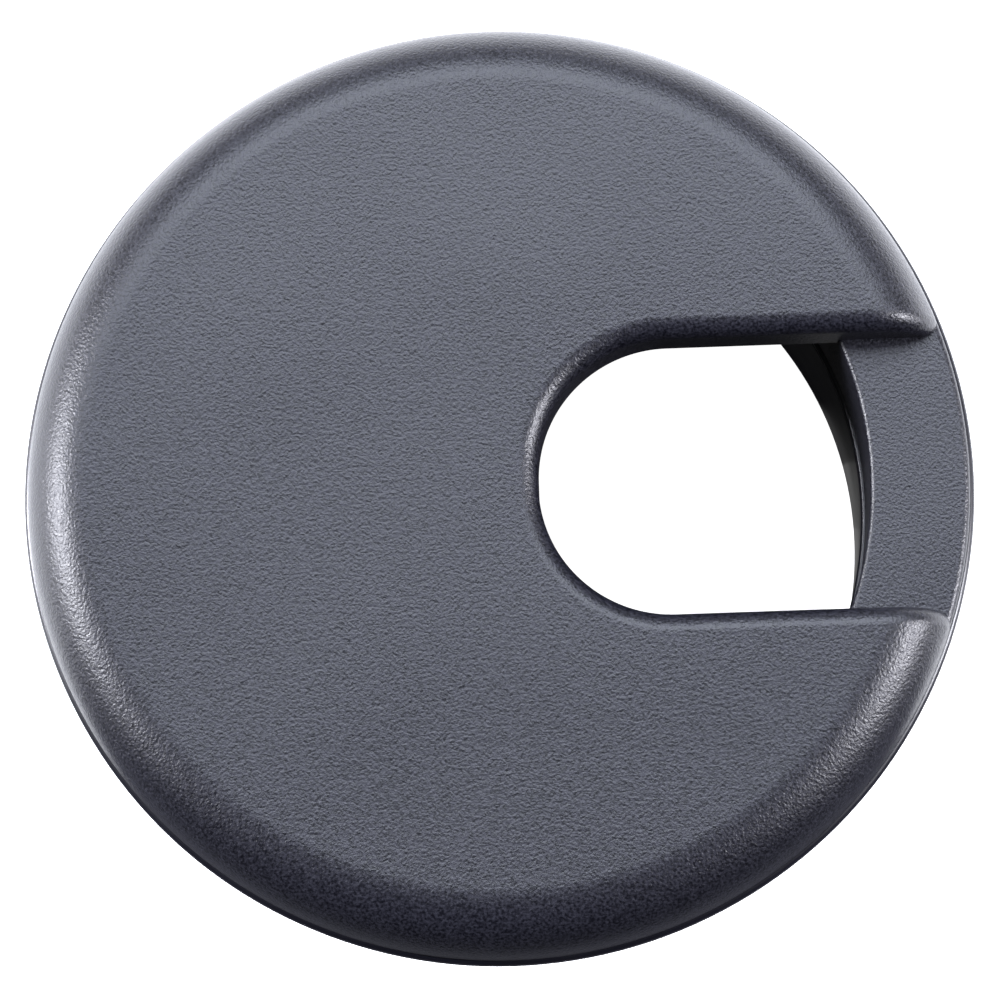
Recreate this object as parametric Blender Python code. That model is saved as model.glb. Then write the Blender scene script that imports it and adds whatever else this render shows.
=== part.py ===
"""Desk grommet: a cap with a U-shaped cable slot, snapped into a flanged liner and turning in it.

Units are metres, +Z up. The origin is on the hole's axis, level with the desk's top surface,
and the cable slot opens towards +X.
"""

import math

import bmesh
import bpy

# Desk hole that the grommet fits
HOLE_RADIUS = 0.0300
HOLE_CLEARANCE = 0.0003
RIB_CRUSH_GAP = 0.00005

# Liner: flange on the desk, sleeve in the hole
FLANGE_WIDTH = 0.0050
FLANGE_THICKNESS = 0.0010
FLANGE_EDGE_ROUND = 0.0005
SLEEVE_WALL = 0.00115
SLEEVE_DEPTH = 0.0260
SLEEVE_LEAD_IN = 0.0004
RIB_COUNT = 12
RIB_WIDTH = 0.0012
RIB_SHORT_OF_END = 0.0035
RIB_TAPER_LENGTH = 0.0060

# Cap: flat-topped dome, low bridge across the mouth of the slot, skirt that runs in the liner
CAP_SETBACK = 0.0003
CAP_HEIGHT = 0.0060
CAP_SHELL = 0.0022
SHOULDER_FOOT = 0.0012
RIM_WALL = 0.0017
SEAT_GAP = 0.0003
BRIDGE_THICKNESS = 0.0009
BRIDGE_EDGE_ROUND = 0.0004
SKIRT_WALL = 0.0010
SKIRT_DEPTH = 0.0104
SKIRT_CLEARANCE = 0.00025
SKIRT_LIP = 0.0003
SKIRT_LIP_HEIGHT = 0.0004
SLIT_COUNT = 6
SLIT_WIDTH = 0.0012
SLIT_LENGTH = 0.0065

# Snap between the skirt and the liner
BEAD_HEIGHT = 0.0004
BEAD_HALF_LENGTH = 0.0007
BEAD_ABOVE_SKIRT_END = 0.0013

# Cable slot
SLOT_HALF_WIDTH = 0.0102
SLOT_END = 0.0030
SLOT_END_HALF_FLAT = 0.0005
SLOT_EDGE_ROUND = 0.0015
SLOT_SIDE_WALL = 0.0014

# Blanks that would share a face are set this far apart, so that their Booleans stay clean
FLUSH_STEP = 0.00005

# Facets
ROUND_STEPS = 72
CORNER_STEPS = 8
SHOULDER_STEPS = 8
SLOT_ROUND_STEPS = 4
EDGE_STEPS = 3
ROUND_ROOM = 1.2
ON_OUTLINE = 0.00003

# Sizes that follow from the ones above
FLANGE_RADIUS = HOLE_RADIUS + FLANGE_WIDTH
CAP_RADIUS = FLANGE_RADIUS - CAP_SETBACK
SLEEVE_RADIUS = HOLE_RADIUS - HOLE_CLEARANCE
RIB_RADIUS = HOLE_RADIUS - RIB_CRUSH_GAP
BORE_RADIUS = SLEEVE_RADIUS - SLEEVE_WALL
SKIRT_RADIUS = BORE_RADIUS - SKIRT_CLEARANCE
SKIRT_BORE = SKIRT_RADIUS - SKIRT_WALL
LOWER_BORE = SKIRT_BORE - SKIRT_LIP
LOWER_RADIUS = LOWER_BORE + SLEEVE_WALL
LEDGE_Z = -SKIRT_DEPTH - SEAT_GAP
RIB_END_Z = RIB_SHORT_OF_END - SLEEVE_DEPTH
RIM_BOTTOM = FLANGE_THICKNESS + SEAT_GAP
BRIDGE_TOP = RIM_BOTTOM + BRIDGE_THICKNESS
DOME_BOTTOM = (RIM_BOTTOM + BRIDGE_TOP) / 2
SHOULDER_ROUND = CAP_HEIGHT - SHOULDER_FOOT
SHELL_UNDERSIDE = CAP_HEIGHT - CAP_SHELL
SLOT_CORNER_RADIUS = SLOT_HALF_WIDTH - SLOT_END_HALF_FLAT
BEAD_Z = -SKIRT_DEPTH + BEAD_ABOVE_SKIRT_END
GROOVE_RADIUS = SKIRT_RADIUS + BEAD_HEIGHT + SKIRT_CLEARANCE
GROOVE_HALF_LENGTH = BEAD_HALF_LENGTH + SEAT_GAP
POCKET_INNER = SKIRT_RADIUS + FLUSH_STEP
POCKET_OUTER = CAP_RADIUS - RIM_WALL
POCKET_SLOPE = SHOULDER_ROUND - RIM_WALL - SEAT_GAP
OVERSHOOT = 0.004

# Finishes
CAP_COLOUR = (0.010, 0.010, 0.015, 1.0)
CAP_ROUGHNESS = 0.35
LINER_COLOUR = (0.010, 0.010, 0.015, 1.0)
LINER_ROUGHNESS = 0.30
SHARP_DEGREES = 32


def clear_scene():
    for obj in list(bpy.data.objects):
        bpy.data.objects.remove(obj, do_unlink=True)


def plastic(name, colour, roughness):
    material = bpy.data.materials.new(name)
    material.use_nodes = True
    shader = material.node_tree.nodes["Principled BSDF"]
    shader.inputs["Base Color"].default_value = colour
    shader.inputs["Roughness"].default_value = roughness
    shader.inputs["Metallic"].default_value = 0.0
    return material


def add_object(name, mesh):
    obj = bpy.data.objects.new(name, mesh)
    bpy.context.scene.collection.objects.link(obj)
    return obj


def mesh_from(name, bm):
    bmesh.ops.recalc_face_normals(bm, faces=bm.faces)
    mesh = bpy.data.meshes.new(name)
    bm.to_mesh(mesh)
    bm.free()
    return mesh


def make_helper(obj):
    """A cutter or a blank: used by Boolean modifiers, and not a piece of the object."""
    obj.hide_render = True
    obj.display_type = "WIRE"
    return obj


def arc(centre, radius, start_degrees, end_degrees, steps):
    """Points of a circular arc, both ends included."""
    points = []
    for i in range(steps + 1):
        angle = math.radians(start_degrees + (end_degrees - start_degrees) * i / steps)
        points.append((centre[0] + radius * math.cos(angle), centre[1] + radius * math.sin(angle)))
    return points


def turned(name, profile):
    """A ring or disc made by turning a closed (radius, height) outline about Z."""
    bm = bmesh.new()
    loop = [bm.verts.new((r, 0.0, z)) for r, z in profile]
    edges = [bm.edges.new((loop[i], loop[(i + 1) % len(loop)])) for i in range(len(loop))]
    bmesh.ops.spin(
        bm,
        geom=loop + edges,
        cent=(0, 0, 0),
        axis=(0, 0, 1),
        angle=math.tau,
        steps=ROUND_STEPS,
        use_merge=True,
    )
    return add_object(name, mesh_from(name, bm))


def stacked(name, layers):
    """A closed solid through (outline, height) layers, listed upwards, of matching points."""
    bm = bmesh.new()
    loops = [[bm.verts.new((x, y, z)) for x, y in outline] for outline, z in layers]
    bm.faces.new(loops[0])
    bm.faces.new(loops[-1])
    count = len(loops[0])
    for low, high in zip(loops, loops[1:]):
        for i in range(count):
            j = (i + 1) % count
            bm.faces.new((low[i], low[j], high[j], high[i]))
    return add_object(name, mesh_from(name, bm))


def prism(name, outline, bottom, top):
    return stacked(name, [(outline, bottom), (outline, top)])


def circle(radius):
    return arc((0, 0), radius, 0, 360, ROUND_STEPS)[:-1]


def boolean(obj, other, operation):
    modifier = obj.modifiers.new(other.name, "BOOLEAN")
    modifier.operation = operation
    modifier.solver = "EXACT"
    modifier.object = other


def apply_modifiers(obj):
    graph = bpy.context.evaluated_depsgraph_get()
    mesh = bpy.data.meshes.new_from_object(obj.evaluated_get(graph), depsgraph=graph)
    obj.modifiers.clear()
    obj.data = mesh


def finish(obj, material):
    """Smooth shading with sharp edges, and the piece's one material."""
    apply_modifiers(obj)
    obj.data.shade_smooth()
    obj.data.set_sharp_from_angle(angle=math.radians(SHARP_DEGREES))
    obj.data.materials.clear()
    obj.data.materials.append(material)


def slot_outline(grow, far_x):
    """The U of the cable slot, grown outwards by a margin and open at the far side."""
    radius = SLOT_CORNER_RADIUS + grow
    centre_x = SLOT_END + SLOT_CORNER_RADIUS
    centre_y = SLOT_HALF_WIDTH - SLOT_CORNER_RADIUS
    upper = arc((centre_x, centre_y), radius, 90, 180, CORNER_STEPS)
    lower = arc((centre_x, -centre_y), radius, 180, 270, CORNER_STEPS)
    half = SLOT_HALF_WIDTH + grow
    return [(far_x, half)] + upper + lower + [(far_x, -half)]


def slot_distance(point):
    """How far a point lies outside the slot's outline, seen from above."""
    inwards = max(SLOT_END + SLOT_CORNER_RADIUS - point.x, 0)
    sideways = max(abs(point.y) - (SLOT_HALF_WIDTH - SLOT_CORNER_RADIUS), 0)
    return math.hypot(inwards, sideways) - SLOT_CORNER_RADIUS


def cap_dome():
    """The domed plate with its round shoulder, cut through by the slot."""
    start = math.degrees(math.asin((DOME_BOTTOM - SHOULDER_FOOT) / SHOULDER_ROUND))
    shoulder = arc((CAP_RADIUS - SHOULDER_ROUND, SHOULDER_FOOT), SHOULDER_ROUND, start, 90, SHOULDER_STEPS)
    dome = stacked("dome", [(circle(r), z) for r, z in shoulder])
    outline = slot_outline(0, CAP_RADIUS * 2)
    cutter = prism("slot_cutter", outline, DOME_BOTTOM - OVERSHOOT, CAP_HEIGHT + OVERSHOOT)
    boolean(dome, make_helper(cutter), "DIFFERENCE")
    apply_modifiers(dome)
    round_slot_edge(dome.data)
    return make_helper(dome)


def round_slot_edge(mesh):
    """Rounds the slot's edge along the flat top and down both cut ends of the shoulder."""
    bm = bmesh.new()
    bm.from_mesh(mesh)
    walls = {face for face in bm.faces if all(abs(slot_distance(v.co)) < ON_OUTLINE for v in face.verts)}
    bottoms = {face for face in bm.faces if all(v.co.z < DOME_BOTTOM + ON_OUTLINE for v in face.verts)}
    clear_room_for_round(bm, walls)
    edge_of_slot = [
        edge
        for edge in bm.edges
        if len(walls.intersection(edge.link_faces)) == 1 and not bottoms.intersection(edge.link_faces)
    ]
    bmesh.ops.bevel(
        bm,
        geom=edge_of_slot,
        offset=SLOT_EDGE_ROUND,
        offset_type="OFFSET",
        segments=SLOT_ROUND_STEPS,
        profile=0.5,
        affect="EDGES",
        clamp_overlap=False,
    )
    bm.to_mesh(mesh)
    bm.free()


def clear_room_for_round(bm, walls):
    """Dissolves the shoulder's slanting edges that the slot's edge round would run into."""
    room = SLOT_EDGE_ROUND * ROUND_ROOM
    in_the_way = [
        edge
        for edge in bm.edges
        if not walls.intersection(edge.link_faces)
        and abs(edge.verts[0].co.z - edge.verts[1].co.z) > ON_OUTLINE
        and min(slot_distance(v.co) for v in edge.verts) < room
    ]
    bmesh.ops.dissolve_edges(bm, edges=in_the_way, use_verts=True)


def skirt_ring():
    """The skirt with its snap bead and end lip, and the low ring that bridges the slot's mouth."""
    outer = CAP_RADIUS - FLUSH_STEP
    edge_z = BRIDGE_TOP - BRIDGE_EDGE_ROUND
    profile = arc((outer - BRIDGE_EDGE_ROUND, edge_z), BRIDGE_EDGE_ROUND, 90, 0, EDGE_STEPS)
    profile += [
        (outer, RIM_BOTTOM),
        (SKIRT_RADIUS, RIM_BOTTOM),
        (SKIRT_RADIUS, BEAD_Z + BEAD_HALF_LENGTH),
        (SKIRT_RADIUS + BEAD_HEIGHT, BEAD_Z + BEAD_HALF_LENGTH / 3),
        (SKIRT_RADIUS + BEAD_HEIGHT, BEAD_Z - BEAD_HALF_LENGTH / 3),
        (SKIRT_RADIUS, BEAD_Z - BEAD_HALF_LENGTH),
        (SKIRT_RADIUS, -SKIRT_DEPTH),
        (LOWER_BORE, -SKIRT_DEPTH),
        (LOWER_BORE, -SKIRT_DEPTH + SKIRT_LIP_HEIGHT),
        (SKIRT_BORE, -SKIRT_DEPTH + SKIRT_LIP_HEIGHT + SKIRT_LIP),
    ]
    profile += arc((SKIRT_BORE + BRIDGE_EDGE_ROUND, edge_z), BRIDGE_EDGE_ROUND, 180, 90, EDGE_STEPS)
    return turned("cap", profile)


def keep_slot_wall(cutter):
    """Stops a cutter short of the slot, which keeps a wall round the slot and a bridge across its mouth."""
    outline = slot_outline(SLOT_SIDE_WALL, CAP_RADIUS * 2)
    keeper = prism(f"{cutter.name}_keeper", outline, -OVERSHOOT, CAP_HEIGHT + OVERSHOOT)
    boolean(cutter, make_helper(keeper), "DIFFERENCE")
    return make_helper(cutter)


def hollow():
    """The open inside of the cap, under the shell and within the skirt."""
    outline = circle(SKIRT_BORE + 2 * FLUSH_STEP)
    return keep_slot_wall(prism("hollow_cutter", outline, RIM_BOTTOM - OVERSHOOT / 4, SHELL_UNDERSIDE))


def rim_pocket():
    """The groove under the shoulder, stopped on both sides of the slot."""
    pocket = turned(
        "pocket_cutter",
        [
            (POCKET_INNER, SHELL_UNDERSIDE),
            (POCKET_OUTER - POCKET_SLOPE / 2, SHELL_UNDERSIDE),
            (POCKET_OUTER, BRIDGE_TOP),
            (POCKET_OUTER, RIM_BOTTOM - OVERSHOOT / 4),
            (POCKET_INNER, RIM_BOTTOM - OVERSHOOT / 4),
        ],
    )
    return keep_slot_wall(pocket)


def slit_cutter(index):
    """One saw cut across the skirt's lower end, which frees two snap fingers."""
    turn = math.tau * (index + 0.5) / SLIT_COUNT
    reach = SKIRT_RADIUS + OVERSHOOT
    half = SLIT_WIDTH / 2
    corners = [(-reach, -half), (reach, -half), (reach, half), (-reach, half)]
    outline = [
        (x * math.cos(turn) - y * math.sin(turn), x * math.sin(turn) + y * math.cos(turn)) for x, y in corners
    ]
    top = SLIT_LENGTH - SKIRT_DEPTH
    return make_helper(prism(f"slit_cutter_{index}", outline, -SKIRT_DEPTH - OVERSHOOT, top))


def make_cap():
    dome = cap_dome()
    boolean(dome, hollow(), "DIFFERENCE")
    cap = skirt_ring()
    boolean(cap, dome, "UNION")
    boolean(cap, rim_pocket(), "DIFFERENCE")
    for index in range(SLIT_COUNT // 2):
        boolean(cap, slit_cutter(index), "DIFFERENCE")
    finish(cap, plastic("cap_plastic", CAP_COLOUR, CAP_ROUGHNESS))


def crush_ribs():
    """Upright ribs round the sleeve, each tapered in towards its lower end."""
    bm = bmesh.new()
    upper_root = SLEEVE_RADIUS - SLEEVE_WALL / 2
    lower_root = LOWER_RADIUS - SLEEVE_WALL / 2
    half = RIB_WIDTH / 2
    side = [
        (upper_root, FLANGE_THICKNESS / 2),
        (RIB_RADIUS, FLANGE_THICKNESS / 2),
        (RIB_RADIUS, RIB_END_Z + RIB_TAPER_LENGTH),
        (upper_root, RIB_END_Z),
        (lower_root, RIB_END_Z),
        (lower_root, LEDGE_Z - SLEEVE_WALL / 2),
        (upper_root, LEDGE_Z - SLEEVE_WALL / 2),
    ]
    for index in range(RIB_COUNT):
        turn = math.tau * (index + 0.5) / RIB_COUNT
        cos, sin = math.cos(turn), math.sin(turn)
        near = [bm.verts.new((r * cos + half * sin, r * sin - half * cos, z)) for r, z in side]
        far = [bm.verts.new((r * cos - half * sin, r * sin + half * cos, z)) for r, z in side]
        bm.faces.new(near)
        bm.faces.new(far)
        for i in range(len(side)):
            j = (i + 1) % len(side)
            bm.faces.new((near[i], near[j], far[j], far[i]))
    return make_helper(add_object("crush_ribs", mesh_from("crush_ribs", bm)))


def make_liner():
    shelf = LEDGE_Z - SLEEVE_WALL
    edge = (FLANGE_RADIUS - FLANGE_EDGE_ROUND, FLANGE_THICKNESS - FLANGE_EDGE_ROUND)
    profile = arc(edge, FLANGE_EDGE_ROUND, 90, 0, EDGE_STEPS)
    profile += [
        (FLANGE_RADIUS, 0),
        (SLEEVE_RADIUS, 0),
        (SLEEVE_RADIUS, shelf + SLEEVE_LEAD_IN),
        (LOWER_RADIUS, shelf - (SLEEVE_RADIUS - LOWER_RADIUS) + SLEEVE_LEAD_IN),
        (LOWER_RADIUS, -SLEEVE_DEPTH + SLEEVE_LEAD_IN),
        (LOWER_RADIUS - SLEEVE_LEAD_IN, -SLEEVE_DEPTH),
        (LOWER_BORE, -SLEEVE_DEPTH),
        (LOWER_BORE, LEDGE_Z),
        (BORE_RADIUS, LEDGE_Z),
        (BORE_RADIUS, BEAD_Z - GROOVE_HALF_LENGTH),
        (GROOVE_RADIUS, BEAD_Z - GROOVE_HALF_LENGTH / 2),
        (GROOVE_RADIUS, BEAD_Z + GROOVE_HALF_LENGTH / 2),
        (BORE_RADIUS, BEAD_Z + GROOVE_HALF_LENGTH),
        (BORE_RADIUS, FLANGE_THICKNESS - SLEEVE_LEAD_IN),
        (BORE_RADIUS + SLEEVE_LEAD_IN, FLANGE_THICKNESS),
    ]
    liner = turned("liner", profile)
    boolean(liner, crush_ribs(), "UNION")
    finish(liner, plastic("liner_plastic", LINER_COLOUR, LINER_ROUGHNESS))


def main():
    clear_scene()
    make_liner()
    make_cap()


main()
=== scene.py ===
"""Looks of the desk grommet: a grained cap with a U-shaped cable slot, turning in a smooth liner."""

import math

import bmesh
import bpy
from mathutils import Matrix, Vector


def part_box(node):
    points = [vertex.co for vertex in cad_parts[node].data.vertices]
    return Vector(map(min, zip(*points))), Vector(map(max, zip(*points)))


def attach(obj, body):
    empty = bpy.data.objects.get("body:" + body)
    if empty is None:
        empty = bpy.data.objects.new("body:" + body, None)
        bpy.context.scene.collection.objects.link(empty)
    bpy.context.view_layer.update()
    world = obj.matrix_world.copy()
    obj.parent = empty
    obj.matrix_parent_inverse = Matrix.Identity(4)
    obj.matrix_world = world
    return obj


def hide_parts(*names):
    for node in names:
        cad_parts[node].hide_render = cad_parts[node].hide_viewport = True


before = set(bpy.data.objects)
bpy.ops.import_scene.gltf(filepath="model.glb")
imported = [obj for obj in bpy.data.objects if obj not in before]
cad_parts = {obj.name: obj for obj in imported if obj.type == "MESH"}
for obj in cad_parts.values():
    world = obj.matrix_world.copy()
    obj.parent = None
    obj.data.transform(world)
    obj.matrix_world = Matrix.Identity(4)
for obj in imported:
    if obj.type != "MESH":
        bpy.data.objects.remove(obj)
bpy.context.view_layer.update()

# Heights and radii that the frame gives, in metres
CAP_LOW, CAP_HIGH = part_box("cap")
LINER_LOW, LINER_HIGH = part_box("liner")
CAP_TOP = CAP_HIGH.z
SKIRT_END = CAP_LOW.z
CAP_RADIUS = CAP_HIGH.y
FLANGE_TOP = LINER_HIGH.z
FLANGE_RADIUS = LINER_HIGH.y
SLEEVE_END = LINER_LOW.z

# Cap: the shoulder's round is centred SHOULDER_FOOT above the desk
SEAT_GAP = 0.0003
RIM_BOTTOM = FLANGE_TOP + SEAT_GAP
SHOULDER_FOOT = 0.0012
SHOULDER_ROUND = CAP_TOP - SHOULDER_FOOT
BRIDGE_TOP = 0.0022
BRIDGE_OUTER_ROUND = 0.0005
BRIDGE_INNER_ROUND = 0.0004
RIM_WALL = 0.0017
CAP_SHELL = 0.0022
SHELL_UNDERSIDE = CAP_TOP - CAP_SHELL
INSIDE_ROUND = 0.0006

# Skirt
SKIRT_RADIUS = 0.0283
SKIRT_BORE = 0.0273
SKIRT_LIP = 0.0003
SKIRT_END_ROUND = 0.00012
BEAD_HEIGHT = 0.0004
BEAD_HALF_LENGTH = 0.0007
BEAD_ABOVE_END = 0.0013
SLIT_COUNT = 6
SLIT_WIDTH = 0.0012
SLIT_LENGTH = 0.0065

# Cable slot
SLOT_HALF_WIDTH = 0.0102
SLOT_END = 0.0030
SLOT_CORNER_RADIUS = 0.0097
SLOT_EDGE_ROUND = 0.0015
SLOT_SIDE_WALL = 0.0014

# Liner
FLANGE_EDGE_ROUND = 0.00045
SLEEVE_RADIUS = 0.0297
BORE_RADIUS = 0.02855
LOWER_BORE = SKIRT_BORE - SKIRT_LIP
LOWER_RADIUS = 0.02815
LEDGE_TOP = SKIRT_END - SEAT_GAP
LEDGE_THICKNESS = 0.00115
LEDGE_ROUND = 0.00012
LEAD_IN = 0.0004
GROOVE_RADIUS = 0.02895
GROOVE_HALF_LENGTH = 0.0010
RIB_COUNT = 12
RIB_WIDTH = 0.0012
RIB_RADIUS = 0.02995
RIB_END = SLEEVE_END + 0.0035
RIB_TAPER_LENGTH = 0.0060
RIB_EDGE_ROUND = 0.0002

# Facets in a full circle and in the rounds
ROUND_STEPS = 192
SHOULDER_STEPS = 24
CORNER_STEPS = 40
SLOT_ROUND_STEPS = 12
EDGE_STEPS = 6
RIB_EDGE_STEPS = 3
SHARP_ANGLE = math.radians(35)

# Working margins: what still counts as the same place, the least step between
# two faces, how far a cutter runs past what it cuts, and the room that an edge
# round needs as a share of its radius
ON_OUTLINE = 0.00002
STEP_APART = 0.00005
OVERSHOOT = 0.004
ROUND_ROOM = 1.25


# ---------------------------------------------------------------- modelling by hand

def begin():
    """Object mode, with nothing selected."""
    if bpy.context.mode != "OBJECT":
        bpy.ops.object.mode_set(mode="OBJECT")
    bpy.ops.object.select_all(action="DESELECT")


def settle(name):
    """Names the new primitive and moves its place and size into its mesh."""
    obj = bpy.context.object
    obj.name = name
    obj.data.name = name
    bpy.ops.object.transform_apply(location=True, rotation=True, scale=True)
    return obj


def make_active(obj):
    begin()
    bpy.context.view_layer.objects.active = obj
    obj.select_set(True)


def edit(obj, kind):
    """Edit mode for vertices, edges or faces, with nothing selected."""
    make_active(obj)
    bpy.ops.object.mode_set(mode="EDIT")
    bpy.ops.mesh.select_mode(type=kind)
    bpy.ops.mesh.select_all(action="DESELECT")
    return bmesh.from_edit_mesh(obj.data)


def select_edges(obj, test):
    bm = edit(obj, "EDGE")
    for edge in bm.edges:
        edge.select_set(test(edge))
    bmesh.update_edit_mesh(obj.data)


def select_faces(obj, test):
    bm = edit(obj, "FACE")
    for face in bm.faces:
        face.select_set(test(face))
    bmesh.update_edit_mesh(obj.data)


def arc(centre, radius, start_degrees, end_degrees, steps=EDGE_STEPS):
    """Points of a circular arc, both ends included."""
    points = []
    for i in range(steps + 1):
        angle = math.radians(start_degrees + (end_degrees - start_degrees) * i / steps)
        points.append((centre[0] + radius * math.cos(angle), centre[1] + radius * math.sin(angle)))
    return points


def draw_along(profile, extrude):
    """Extrudes the selection from point to point of a (radius, height) outline."""
    for (radius, height), (next_radius, next_height) in zip(profile, profile[1:]):
        extrude(TRANSFORM_OT_translate={"value": (0, 0, next_height - height)})
        scale = next_radius / radius
        bpy.ops.transform.resize(value=(scale, scale, 1), center_override=(0, 0, 0))


def face_outwards():
    bpy.ops.mesh.select_all(action="SELECT")
    bpy.ops.mesh.normals_make_consistent(inside=False)
    begin()


def turned(name, profile):
    """A ring: a circle drawn out along a closed (radius, height) outline and bridged shut."""
    begin()
    radius, height = profile[0]
    bpy.ops.mesh.primitive_circle_add(vertices=ROUND_STEPS, radius=radius, location=(0, 0, height))
    obj = settle(name)
    edit(obj, "EDGE")
    bpy.ops.mesh.select_all(action="SELECT")
    draw_along(profile, bpy.ops.mesh.extrude_edges_move)
    bm = bmesh.from_edit_mesh(obj.data)
    for edge in bm.edges:
        if edge.is_boundary:
            edge.select_set(True)
    bmesh.update_edit_mesh(obj.data)
    bpy.ops.mesh.bridge_edge_loops()
    face_outwards()
    return obj


def heaped(name, profile):
    """A solid of revolution: a disc drawn upwards along an open (radius, height) outline."""
    begin()
    radius, height = profile[0]
    bpy.ops.mesh.primitive_circle_add(
        vertices=ROUND_STEPS, radius=radius, location=(0, 0, height), fill_type="NGON"
    )
    obj = settle(name)
    edit(obj, "FACE")
    bpy.ops.mesh.select_all(action="SELECT")
    draw_along(profile, bpy.ops.mesh.extrude_region_move)
    face_outwards()
    return obj


def cylinder(name, radius, bottom, top):
    begin()
    bpy.ops.mesh.primitive_cylinder_add(
        vertices=ROUND_STEPS, radius=radius, depth=top - bottom, location=(0, 0, (top + bottom) / 2)
    )
    return settle(name)


def block(name, low, high):
    begin()
    centre = [(a + b) / 2 for a, b in zip(low, high)]
    size = [b - a for a, b in zip(low, high)]
    bpy.ops.mesh.primitive_cube_add(size=1, location=centre, scale=size)
    return settle(name)


def bevel(offset, segments, clamp=True):
    """Rounds the selected edges."""
    bpy.ops.mesh.bevel(
        offset=offset,
        offset_type="OFFSET",
        segments=segments,
        profile=0.5,
        affect="EDGES",
        clamp_overlap=clamp,
    )


def cut(obj, other, operation="DIFFERENCE"):
    """One Boolean, applied, after which the other solid is thrown away."""
    make_active(obj)
    modifier = obj.modifiers.new(other.name, "BOOLEAN")
    modifier.operation = operation
    modifier.solver = "MANIFOLD"
    modifier.object = other
    bpy.ops.object.modifier_apply(modifier=modifier.name)
    bpy.data.objects.remove(other, do_unlink=True)


def is_upright(edge):
    low, high = sorted(edge.verts, key=lambda v: v.co.z)
    return high.co.z - low.co.z > STEP_APART and (high.co.xy - low.co.xy).length < ON_OUTLINE


def slot_block(name, grow, bottom, top):
    """A block that fills the cable slot, grown by a margin, with the corners of its closed end rounded."""
    near = SLOT_END - grow
    half = SLOT_HALF_WIDTH + grow
    obj = block(name, (near, -half, bottom), (CAP_RADIUS * 2, half, top))
    select_edges(obj, lambda edge: is_upright(edge) and edge.verts[0].co.x < CAP_RADIUS)
    bevel(SLOT_CORNER_RADIUS + grow, CORNER_STEPS)
    begin()
    return obj


def slot_distance(point):
    """How far a point lies outside the slot's outline, seen from above."""
    inwards = max(SLOT_END + SLOT_CORNER_RADIUS - point.x, 0)
    sideways = max(abs(point.y) - (SLOT_HALF_WIDTH - SLOT_CORNER_RADIUS), 0)
    return math.hypot(inwards, sideways) - SLOT_CORNER_RADIUS


def on_slot_wall(face):
    return all(abs(slot_distance(v.co)) < ON_OUTLINE for v in face.verts)


# ---------------------------------------------------------------- cap

def cap_dome():
    """The domed plate: a disc with a round shoulder, cut by the slot, whose edge is then rounded."""
    start = math.degrees(math.asin((RIM_BOTTOM - SHOULDER_FOOT) / SHOULDER_ROUND))
    centre = (CAP_RADIUS - SHOULDER_ROUND, SHOULDER_FOOT)
    dome = heaped("cap_piece", arc(centre, SHOULDER_ROUND, start, 90, SHOULDER_STEPS))
    cut(dome, slot_block("slot", 0, RIM_BOTTOM - OVERSHOOT, CAP_TOP + OVERSHOOT))
    room = SLOT_EDGE_ROUND * ROUND_ROOM

    def slants(edge):
        first, second = (v.co for v in edge.verts)
        return abs(first.z - second.z) + abs(first.xy.length - second.xy.length) > ON_OUTLINE

    def in_the_way(edge):
        return (
            slants(edge)
            and not any(on_slot_wall(face) for face in edge.link_faces)
            and min(slot_distance(v.co) for v in edge.verts) < room
        )

    def at_slot_edge(edge):
        under = any(all(v.co.z < RIM_BOTTOM + ON_OUTLINE for v in face.verts) for face in edge.link_faces)
        return sum(on_slot_wall(face) for face in edge.link_faces) == 1 and not under

    select_edges(dome, in_the_way)
    bpy.ops.mesh.dissolve_edges(use_verts=True)
    select_edges(dome, at_slot_edge)
    bevel(SLOT_EDGE_ROUND, SLOT_ROUND_STEPS, clamp=False)
    begin()
    return dome


def hollow():
    """The open inside of the cap, with a rounded ceiling edge, stopped short of the slot's wall."""
    inside = cylinder("hollow", SKIRT_BORE + 2 * STEP_APART, RIM_BOTTOM - OVERSHOOT / 4, SHELL_UNDERSIDE)
    select_edges(inside, lambda edge: all(v.co.z > SHELL_UNDERSIDE - STEP_APART for v in edge.verts))
    bevel(INSIDE_ROUND, EDGE_STEPS)
    cut(inside, slot_block("slot_wall", SLOT_SIDE_WALL, -OVERSHOOT, CAP_TOP))
    return inside


def rim_pocket():
    """The groove under the shoulder, stopped on both sides of the slot."""
    outer = CAP_RADIUS - RIM_WALL
    slope = SHOULDER_ROUND - RIM_WALL - SEAT_GAP
    pocket = turned(
        "pocket",
        [
            (SKIRT_RADIUS + STEP_APART, SHELL_UNDERSIDE),
            (outer - slope / 2, SHELL_UNDERSIDE),
            (outer, BRIDGE_TOP),
            (outer, RIM_BOTTOM - OVERSHOOT / 4),
            (SKIRT_RADIUS + STEP_APART, RIM_BOTTOM - OVERSHOOT / 4),
        ],
    )
    cut(pocket, slot_block("pocket_stop", SLOT_SIDE_WALL, -OVERSHOOT, CAP_TOP))
    return pocket


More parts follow.
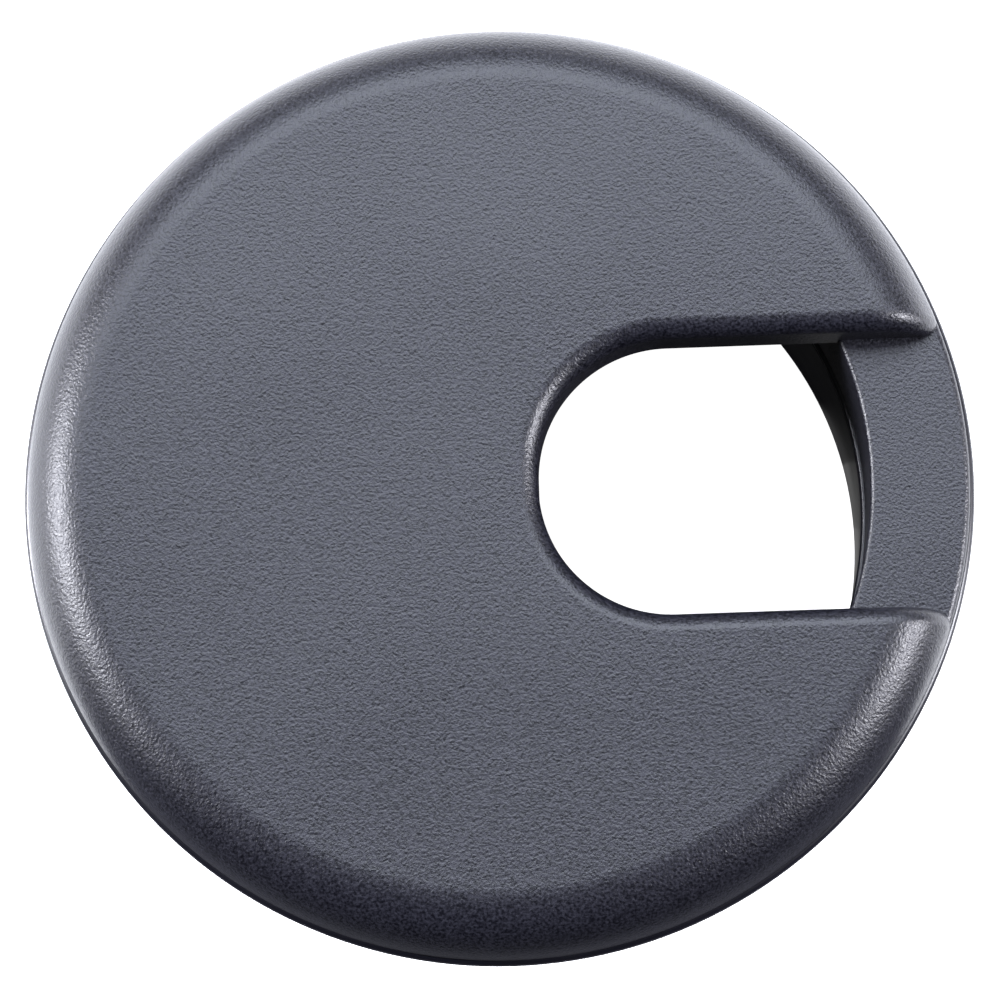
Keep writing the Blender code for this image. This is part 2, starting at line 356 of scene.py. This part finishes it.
def skirt_ring():
    """The bridge across the slot's mouth, and the skirt below it with its snap bead and end lip."""
    outer = CAP_RADIUS - STEP_APART
    bottom = RIM_BOTTOM + STEP_APART
    bead_z = SKIRT_END + BEAD_ABOVE_END
    lip_bore = SKIRT_BORE - SKIRT_LIP
    end = SKIRT_END_ROUND
    outer_centre = (outer - BRIDGE_OUTER_ROUND, BRIDGE_TOP - BRIDGE_OUTER_ROUND)
    inner_centre = (SKIRT_BORE + BRIDGE_INNER_ROUND, BRIDGE_TOP - BRIDGE_INNER_ROUND)
    profile = arc(outer_centre, BRIDGE_OUTER_ROUND, 90, 0)
    profile += [
        (outer, bottom),
        (SKIRT_RADIUS, bottom),
        (SKIRT_RADIUS, bead_z + BEAD_HALF_LENGTH),
        (SKIRT_RADIUS + BEAD_HEIGHT, bead_z + BEAD_HALF_LENGTH / 3),
        (SKIRT_RADIUS + BEAD_HEIGHT, bead_z - BEAD_HALF_LENGTH / 3),
        (SKIRT_RADIUS, bead_z - BEAD_HALF_LENGTH),
    ]
    profile += arc((SKIRT_RADIUS - end, SKIRT_END + end), end, 0, -90)
    profile += arc((lip_bore + end, SKIRT_END + end), end, -90, -180)
    profile += arc((SKIRT_BORE, SKIRT_END + 3 * end), SKIRT_LIP, 180, 90)
    profile += arc(inner_centre, BRIDGE_INNER_ROUND, 180, 90)
    return turned("skirt", profile)


def turned_copy(pattern, name, turn):
    """A copy of a finished pattern piece, with a mesh of its own, turned about the axis."""
    make_active(pattern)
    bpy.ops.object.duplicate()
    obj = settle(name)
    edit(obj, "FACE")
    bpy.ops.mesh.select_all(action="SELECT")
    bpy.ops.transform.rotate(value=turn, orient_axis="Z", center_override=(0, 0, 0))
    begin()
    return obj


def cut_slits(cap):
    """Slits right across the skirt's lower end, which free its snap fingers, two to a cut."""
    reach = SKIRT_RADIUS + OVERSHOOT
    half = SLIT_WIDTH / 2
    pattern = block("slit", (-reach, -half, SKIRT_END - OVERSHOOT), (reach, half, SKIRT_END + SLIT_LENGTH))
    for index in range(SLIT_COUNT // 2):
        cut(cap, turned_copy(pattern, f"slit_{index}", math.tau * (index + 0.5) / SLIT_COUNT))
    bpy.data.objects.remove(pattern, do_unlink=True)


def make_cap():
    cap = cap_dome()
    cut(cap, hollow())
    cut(cap, skirt_ring(), "UNION")
    cut(cap, rim_pocket())
    cut_slits(cap)
    return cap


# ---------------------------------------------------------------- liner

def extrude_down(obj, bottom, next_bottom):
    """Draws the block's underside down to a new height."""
    select_faces(obj, lambda face: all(abs(v.co.z - bottom) < ON_OUTLINE for v in face.verts))
    bpy.ops.mesh.extrude_region_move(TRANSFORM_OT_translate={"value": (0, 0, next_bottom - bottom)})


def move_corners(obj, test, value):
    bm = edit(obj, "VERT")
    for vert in bm.verts:
        vert.select_set(test(vert.co))
    bmesh.update_edit_mesh(obj.data)
    bpy.ops.transform.translate(value=value)


def rib_pattern():
    """One crush rib, rooted in the sleeve's wall above and below the ledge, with a tapered lower end."""
    upper_root = (GROOVE_RADIUS + SLEEVE_RADIUS) / 2
    lower_root = (LOWER_BORE + LOWER_RADIUS) / 2
    half = RIB_WIDTH / 2
    step_top = LEDGE_TOP - LEDGE_THICKNESS / 4
    step_bottom = LEDGE_TOP - LEDGE_THICKNESS * 3 / 4
    taper_top = RIB_END + RIB_TAPER_LENGTH
    taper = LOWER_RADIUS - RIB_RADIUS + SEAT_GAP

    def root_below_step(co):
        return co.z < step_bottom + ON_OUTLINE and co.x < SLEEVE_RADIUS

    def outer_foot(co):
        return co.z < RIB_END + ON_OUTLINE and co.x > LOWER_RADIUS

    def outer_corner(edge):
        low, high = sorted(edge.verts, key=lambda v: v.co.z)
        along = high.co.z - low.co.z > STEP_APART and abs(high.co.y - low.co.y) < ON_OUTLINE
        return along and min(high.co.x - upper_root, low.co.x - LOWER_RADIUS) > 0

    rib = block("rib", (upper_root, -half, step_top), (RIB_RADIUS, half, FLANGE_TOP / 2))
    extrude_down(rib, step_top, step_bottom)
    move_corners(rib, root_below_step, (lower_root - upper_root, 0, 0))
    extrude_down(rib, step_bottom, taper_top)
    extrude_down(rib, taper_top, RIB_END)
    move_corners(rib, outer_foot, (taper, 0, 0))
    select_edges(rib, outer_corner)
    bevel(RIB_EDGE_ROUND, RIB_EDGE_STEPS)
    begin()
    return rib


def make_ribs(liner):
    pattern = rib_pattern()
    for index in range(RIB_COUNT):
        cut(liner, turned_copy(pattern, f"rib_{index}", math.tau * (index + 0.5) / RIB_COUNT), "UNION")
    bpy.data.objects.remove(pattern, do_unlink=True)


def make_liner():
    shelf = LEDGE_TOP - LEDGE_THICKNESS
    groove_z = SKIRT_END + BEAD_ABOVE_END
    edge = FLANGE_EDGE_ROUND
    profile = arc((FLANGE_RADIUS - edge, FLANGE_TOP - edge), edge, 90, 0)
    profile += arc((FLANGE_RADIUS - edge / 2, edge / 2), edge / 2, 0, -90)
    profile += [
        (SLEEVE_RADIUS, 0),
        (SLEEVE_RADIUS, shelf + LEAD_IN),
        (LOWER_RADIUS, shelf - (SLEEVE_RADIUS - LOWER_RADIUS) + LEAD_IN),
        (LOWER_RADIUS, SLEEVE_END + LEAD_IN),
        (LOWER_RADIUS - LEAD_IN, SLEEVE_END),
    ]
    profile += arc((LOWER_BORE + LEDGE_ROUND, SLEEVE_END + LEDGE_ROUND), LEDGE_ROUND, -90, -180)
    profile += arc((LOWER_BORE + LEDGE_ROUND, LEDGE_TOP - LEDGE_ROUND), LEDGE_ROUND, 180, 90)
    profile += [
        (BORE_RADIUS, LEDGE_TOP),
        (BORE_RADIUS, groove_z - GROOVE_HALF_LENGTH),
        (GROOVE_RADIUS, groove_z - GROOVE_HALF_LENGTH / 2),
        (GROOVE_RADIUS, groove_z + GROOVE_HALF_LENGTH / 2),
        (BORE_RADIUS, groove_z + GROOVE_HALF_LENGTH),
        (BORE_RADIUS, FLANGE_TOP - LEAD_IN),
        (BORE_RADIUS + LEAD_IN, FLANGE_TOP),
    ]
    liner = turned("liner_piece", profile)
    make_ribs(liner)
    return liner


# ---------------------------------------------------------------- finishes

class Wire:
    """A shader value that takes part in Python sums."""

    def __init__(self, shader, socket):
        self.shader = shader
        self.socket = socket

    def math(self, operation, first, second):
        return self.shader.node("ShaderNodeMath", {"operation": operation}, {0: first, 1: second})

    def __add__(self, other):
        return self.math("ADD", self, other)

    def __radd__(self, other):
        return self.math("ADD", other, self)

    def __sub__(self, other):
        return self.math("SUBTRACT", self, other)

    def __rsub__(self, other):
        return self.math("SUBTRACT", other, self)

    def __mul__(self, other):
        return self.math("MULTIPLY", self, other)

    def __rmul__(self, other):
        return self.math("MULTIPLY", other, self)


class Finish:
    """A Principled material whose nodes are added one by one."""

    def __init__(self, name, **constants):
        self.material = bpy.data.materials.new(name)
        self.material.use_nodes = True
        self.tree = self.material.node_tree
        self.surface = self.tree.nodes["Principled BSDF"]
        for socket, value in constants.items():
            self.surface.inputs[socket.replace("_", " ")].default_value = value

    def node(self, kind, settings=None, sockets=None, output=0):
        made = self.tree.nodes.new(kind)
        for name, value in (settings or {}).items():
            setattr(made, name, value)
        for key, value in (sockets or {}).items():
            self.feed(made.inputs[key], value)
        return Wire(self, made.outputs[output])

    def feed(self, socket, value):
        if isinstance(value, Wire):
            self.tree.links.new(value.socket, socket)
        else:
            socket.default_value = value

    def place(self):
        return self.node("ShaderNodeTexCoord", output="Object")

    def noise(self, place, scale, detail):
        return self.node("ShaderNodeTexNoise", {}, {"Vector": place, "Scale": scale, "Detail": detail})

    def shift(self, operation, first, second):
        return self.node("ShaderNodeVectorMath", {"operation": operation}, {0: first, **second})

    def bump(self, height, distance, over=None):
        """Relief from a height, which may lie over a relief made before."""
        sockets = {"Height": height, "Distance": distance}
        if over:
            sockets["Normal"] = over
        return self.node("ShaderNodeBump", {}, sockets, "Normal")

    def set(self, socket, value):
        self.feed(self.surface.inputs[socket], value)


def tones(finish, mix, dark, light):
    """A colour that runs from dark to light with a value from 0 to 1."""
    values = {"Factor": mix, 6: dark, 7: light}
    return finish.node("ShaderNodeMix", {"data_type": "RGBA"}, values, 2)


def colour_of(noise):
    """The colour output of a noise, which moves a pattern three ways at once."""
    return Wire(noise.shader, noise.socket.node.outputs["Color"])


PLASTIC_IOR = 1.5

# Grained face. The scales count features to a metre, and the shares weigh them.
DRIFT_SCALE = 2200
DRIFT_REACH = 0.00015
PEBBLE_SCALE = 4600
PEBBLE_SMOOTHNESS = 0.9
PEBBLE_SHARE = 0.5
WRINKLE_SCALE = 4800
WRINKLE_SHARE = 0.8
FINE_SCALE = 8500
FINE_SHARE = 0.35
GRAIN_DEPTH = 0.000044
SINK_SCALE = 45
SINK_DEPTH = 0.0004
SPECK_SCALE = 4600
SPECK_CONTRAST = 3.2
GRAIN_DARK = (0.001, 0.001, 0.003, 1)
GRAIN_LIGHT = (0.012, 0.012, 0.018, 1)
GRAIN_ROUGHNESS = 0.27
GRAIN_ROUGHNESS_SPREAD = 0.24

# Polished face
CLOUD_SCALE = 220
CLOUD_SHARE = 0.8
RIPPLE_SCALE = 3500
RIPPLE_SHARE = 0.04
POLISH_DEPTH = 0.00004
POLISH_DARK = (0.003, 0.003, 0.006, 1)
POLISH_LIGHT = (0.005, 0.005, 0.009, 1)
POLISH_ROUGHNESS_SPREAD = 0.10
CAP_INSIDE_ROUGHNESS = 0.30
LINER_ROUGHNESS = 0.28


def grained_plastic():
    """Moulded plastic with a fine leather grain: soft pebbles about a fifth of a millimetre across."""
    finish = Finish("cap_plastic", Metallic=0.0, IOR=PLASTIC_IOR)
    place = finish.place()
    drift = finish.noise(place, DRIFT_SCALE, 1.0)
    warp = finish.shift("SCALE", colour_of(drift), {"Scale": DRIFT_REACH})
    bent = finish.shift("ADD", place, {1: warp})
    pebble_values = {"Vector": bent, "Scale": PEBBLE_SCALE, "Smoothness": PEBBLE_SMOOTHNESS}
    pebbles = finish.node("ShaderNodeTexVoronoi", {"feature": "SMOOTH_F1"}, pebble_values)
    wrinkles = finish.noise(bent, WRINKLE_SCALE, 2.0)
    fine = finish.noise(place, FINE_SCALE, 1.0)
    grain = (1 - pebbles) * PEBBLE_SHARE + wrinkles * WRINKLE_SHARE + fine * FINE_SHARE
    sink = finish.noise(place, SINK_SCALE, 1.0)
    relief = finish.bump(grain, GRAIN_DEPTH)
    finish.set("Normal", finish.bump(sink, SINK_DEPTH, relief))
    speck = finish.noise(place, SPECK_SCALE, 1.0)
    contrast = (speck - 0.5) * SPECK_CONTRAST + 0.5
    finish.set("Base Color", tones(finish, contrast, GRAIN_DARK, GRAIN_LIGHT))
    finish.set("Roughness", GRAIN_ROUGHNESS + GRAIN_ROUGHNESS_SPREAD * speck)
    return finish.material


def smooth_plastic(name, roughness):
    """The same plastic off a polished mould face: satin, with a faint unevenness."""
    finish = Finish(name, Metallic=0.0, IOR=PLASTIC_IOR)
    place = finish.place()
    cloud = finish.noise(place, CLOUD_SCALE, 3.0)
    ripple = finish.noise(place, RIPPLE_SCALE, 2.0)
    finish.set("Normal", finish.bump(cloud * CLOUD_SHARE + ripple * RIPPLE_SHARE, POLISH_DEPTH))
    finish.set("Base Color", tones(finish, cloud, POLISH_DARK, POLISH_LIGHT))
    finish.set("Roughness", roughness + POLISH_ROUGHNESS_SPREAD * cloud)
    return finish.material


FACING_DOWN = -0.3


def is_inside_face(face):
    """Faces of the cap that came off polished mould parts: all that is hidden in use, and the skirt's lip."""
    centre = face.calc_center_median()
    radius = centre.xy.length
    pocket_radius = CAP_RADIUS - RIM_WALL + STEP_APART
    outside_skirt = radius > SKIRT_BORE + STEP_APART and centre.z < RIM_BOTTOM - STEP_APART
    lip = centre.z < SKIRT_END + 3 * SKIRT_END_ROUND + SKIRT_LIP
    under_shell = centre.z < SHELL_UNDERSIDE and radius < SKIRT_BORE
    behind_wall = under_shell and slot_distance(centre) > SLOT_SIDE_WALL / 2
    pocket = SKIRT_RADIUS < radius < pocket_radius and centre.z < BRIDGE_TOP - STEP_APART
    return face.normal.z < FACING_DOWN or outside_skirt or lip or behind_wall or pocket


def dress(obj, materials, second=None):
    """Smooth shading, face-weighted normals, and the piece's materials."""
    obj.data.materials.clear()
    for material in materials:
        obj.data.materials.append(material)
    if second:
        select_faces(obj, second)
        obj.active_material_index = 1
        bpy.ops.object.material_slot_assign()
    make_active(obj)
    bpy.ops.object.shade_smooth_by_angle(angle=SHARP_ANGLE)
    weighted = obj.modifiers.new("weighted", "WEIGHTED_NORMAL")
    weighted.keep_sharp = True
    bpy.ops.object.modifier_apply(modifier=weighted.name)


# ---------------------------------------------------------------- stage, light and camera

WHITE = (1, 1, 1, 1)
FLOOR_SIZE = 3.0
FLOOR_GLOW = 1.05
FLOOR_COLOUR = (0.9, 0.9, 0.9, 1)

# Cards on the floor: how far they reach sideways, and the lines between them
CARD_REACH = 0.30
NEAR_LINE = -0.087
FOOT_LINE = -0.085
BORE_NEAR = -0.022
BORE_FAR = 0.028
BORE_LEFT = -0.028
# The strip, middle and corner cards between these lines carry painted light, brightest at the near end
STRIP_LEFT = 0.0246
STRIP_RIGHT = 0.0320
STRIP_FAR = 0.001
MIDDLE_FAR = 0.006
CARD_BLUE = 1.1
# Painted shade: the dark tone of the floor under the bore as reflections see it, also the base under the
# painted light of the cards beside it
BORE_PAINTED_SHADE = 0.03
NEAR_CARD_RISE = (0, -0.075, 0.62)

# Light
WORLD_COLOUR = (0.95, 0.97, 1.0, 1)
WORLD_STRENGTH = 0.13
SKY_BLUE = (0.90, 0.965, 1.11)
PALE_BLUE = (0.94, 0.96, 1.08)
LEFT_LAMP_BLUE = (0.96, 0.97, 1.06)
RIGHT_LAMP_BLUE = (0.97, 0.97, 1.06)

# Camera: above the cap, leaning a little to the near side, with its angles in degrees
CAMERA_DISTANCE = 0.450
CAMERA_TILT = 10.4
CAMERA_TURN = 6.5
CAMERA_ROLL = 1.75
CAMERA_TARGET = Vector((0.00013, -0.00102, 0.003))
CAMERA_CLIP = 0.01
FRAME_WIDTH = 0.07376
SENSOR_WIDTH = 36.0


def make_floor():
    begin()
    bpy.ops.mesh.primitive_plane_add(size=FLOOR_SIZE, location=(0, 0, SLEEVE_END - STEP_APART))
    floor = settle("floor")
    finish = Finish("floor_white", Roughness=0.9)
    finish.set("Base Color", FLOOR_COLOUR)
    finish.set("Emission Color", WHITE)
    finish.set("Emission Strength", FLOOR_GLOW)
    floor.data.materials.append(finish.material)


def make_card(name, shade, corners, lift=None, painted_glow=0.0):
    """A card darker than the floor, for reflections only, with a rising back if it has a lift. Laid flat on
    the floor it paints a darker floor into what the grommet reflects, and where it emits, it is painted
    light; the camera still sees the evenly white floor.
    """
    begin()
    bpy.ops.mesh.primitive_plane_add(size=1.0, location=(0, 0, 0))
    card = settle(name)
    for vert, corner in zip(card.data.vertices, corners):
        vert.co = corner
    if lift:
        near = min(corner[1] for corner in corners)
        select_edges(card, lambda edge: all(v.co.y < near + ON_OUTLINE for v in edge.verts))
        bpy.ops.mesh.extrude_edges_move(TRANSFORM_OT_translate={"value": lift})
    begin()
    card.visible_camera = False
    card.visible_shadow = False
    finish = Finish(f"{name}_black", Roughness=1.0)
    finish.set("Base Color", (shade, shade, shade * CARD_BLUE, 1))
    finish.set("Specular IOR Level", 0.0)
    # Emission here is painted light, not a lamp
    finish.set("Emission Color", WHITE)
    finish.set("Emission Strength", painted_glow)
    card.data.materials.append(finish.material)


def flat_corners(low_x, low_y, high_x, high_y):
    """The corners of a rectangle just above the floor, in a plane's own order."""
    level = SLEEVE_END + STEP_APART
    return [(x, y, level) for y in (low_y, high_y) for x in (low_x, high_x)]


def make_light(name, azimuth, elevation, distance, size, radiance, colour):
    """A rectangular soft light that faces the grommet. Radiance is what a mirror of it would show."""
    lamp = bpy.data.lights.new(name, "AREA")
    lamp.shape = "RECTANGLE"
    lamp.size, lamp.size_y = size
    lamp.energy = radiance * math.pi * size[0] * size[1]
    lamp.color = colour
    obj = bpy.data.objects.new(name, lamp)
    bpy.context.scene.collection.objects.link(obj)
    turn, lift = math.radians(azimuth), math.radians(elevation)
    flat = math.cos(lift)
    direction = Vector((flat * math.cos(turn), flat * math.sin(turn), math.sin(lift)))
    obj.location = direction * distance
    obj.rotation_euler = direction.to_track_quat("Z", "Y").to_euler()


def make_world():
    world = bpy.data.worlds.new("studio")
    world.use_nodes = True
    background = world.node_tree.nodes["Background"]
    background.inputs["Color"].default_value = WORLD_COLOUR
    background.inputs["Strength"].default_value = WORLD_STRENGTH
    bpy.context.scene.world = world


def make_camera():
    camera = bpy.data.cameras.new("camera")
    camera.sensor_width = SENSOR_WIDTH
    camera.lens = SENSOR_WIDTH * CAMERA_DISTANCE / FRAME_WIDTH
    camera.clip_start = CAMERA_CLIP
    obj = bpy.data.objects.new("camera", camera)
    bpy.context.scene.collection.objects.link(obj)
    tilt, turn, roll = (math.radians(a) for a in (CAMERA_TILT, CAMERA_TURN, CAMERA_ROLL))
    flat = math.sin(tilt)
    direction = Vector((flat * math.sin(turn), -flat * math.cos(turn), math.cos(tilt)))
    obj.location = direction * CAMERA_DISTANCE
    back = (obj.location - CAMERA_TARGET).normalized()
    right = Vector((math.sin(roll), math.cos(roll), 0)).cross(back).normalized()
    up = back.cross(right)
    axes = Matrix((right, up, back)).transposed()
    obj.rotation_euler = axes.to_euler()
    bpy.context.scene.camera = obj


# ---------------------------------------------------------------- the scene

cap = make_cap()
dress(cap, [grained_plastic(), smooth_plastic("cap_inside", CAP_INSIDE_ROUGHNESS)], is_inside_face)
liner = make_liner()
dress(liner, [smooth_plastic("liner_plastic", LINER_ROUGHNESS)])

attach(cap, "cap")
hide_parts("cap")
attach(liner, "liner")
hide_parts("liner")

near = flat_corners(-CARD_REACH, NEAR_LINE, CARD_REACH, FOOT_LINE)
foot = flat_corners(-CARD_REACH, FOOT_LINE, CARD_REACH, BORE_NEAR)
bore = flat_corners(BORE_LEFT, BORE_NEAR, STRIP_LEFT, BORE_FAR)
strip = flat_corners(STRIP_LEFT, BORE_NEAR, STRIP_RIGHT, STRIP_FAR)
middle = flat_corners(STRIP_LEFT, STRIP_FAR, STRIP_RIGHT, MIDDLE_FAR)
corner = flat_corners(STRIP_LEFT, MIDDLE_FAR, STRIP_RIGHT, BORE_FAR)

make_floor()
make_card("near_card", shade=0.012, corners=near, lift=NEAR_CARD_RISE)
# A darker floor in front of the grommet and under its near half, painted in for reflections only
make_card("foot_card", shade=0.09, corners=foot)
# Painted shade: the floor inside the bore, dark in reflections while the camera sees it white
make_card("bore_painted_shade", shade=BORE_PAINTED_SHADE, corners=bore)
# Painted light: emitting cards along the bore's right side, fading from the near end to the far end, which
# the sleeve's inner wall reflects
make_card("strip_painted_light", shade=BORE_PAINTED_SHADE, corners=strip, painted_glow=0.42)
make_card("middle_painted_light", shade=BORE_PAINTED_SHADE, corners=middle, painted_glow=0.28)
make_card("corner_painted_light", shade=BORE_PAINTED_SHADE, corners=corner, painted_glow=0.10)
make_world()
make_light(
    "overhead", azimuth=90, elevation=59, distance=0.7, size=(0.80, 0.42),
    radiance=8.1, colour=SKY_BLUE
)
make_light(
    "back_panel", azimuth=90, elevation=4, distance=0.8, size=(1.20, 0.12),
    radiance=1.3, colour=PALE_BLUE
)
make_light(
    "left_lamp", azimuth=172, elevation=28, distance=0.6, size=(0.09, 0.24),
    radiance=112.0, colour=LEFT_LAMP_BLUE
)
make_light(
    "right_lamp", azimuth=-9, elevation=30, distance=0.6, size=(0.09, 0.26),
    radiance=84.0, colour=RIGHT_LAMP_BLUE
)
make_camera()
bpy.context.scene.view_settings.view_transform = "Standard"
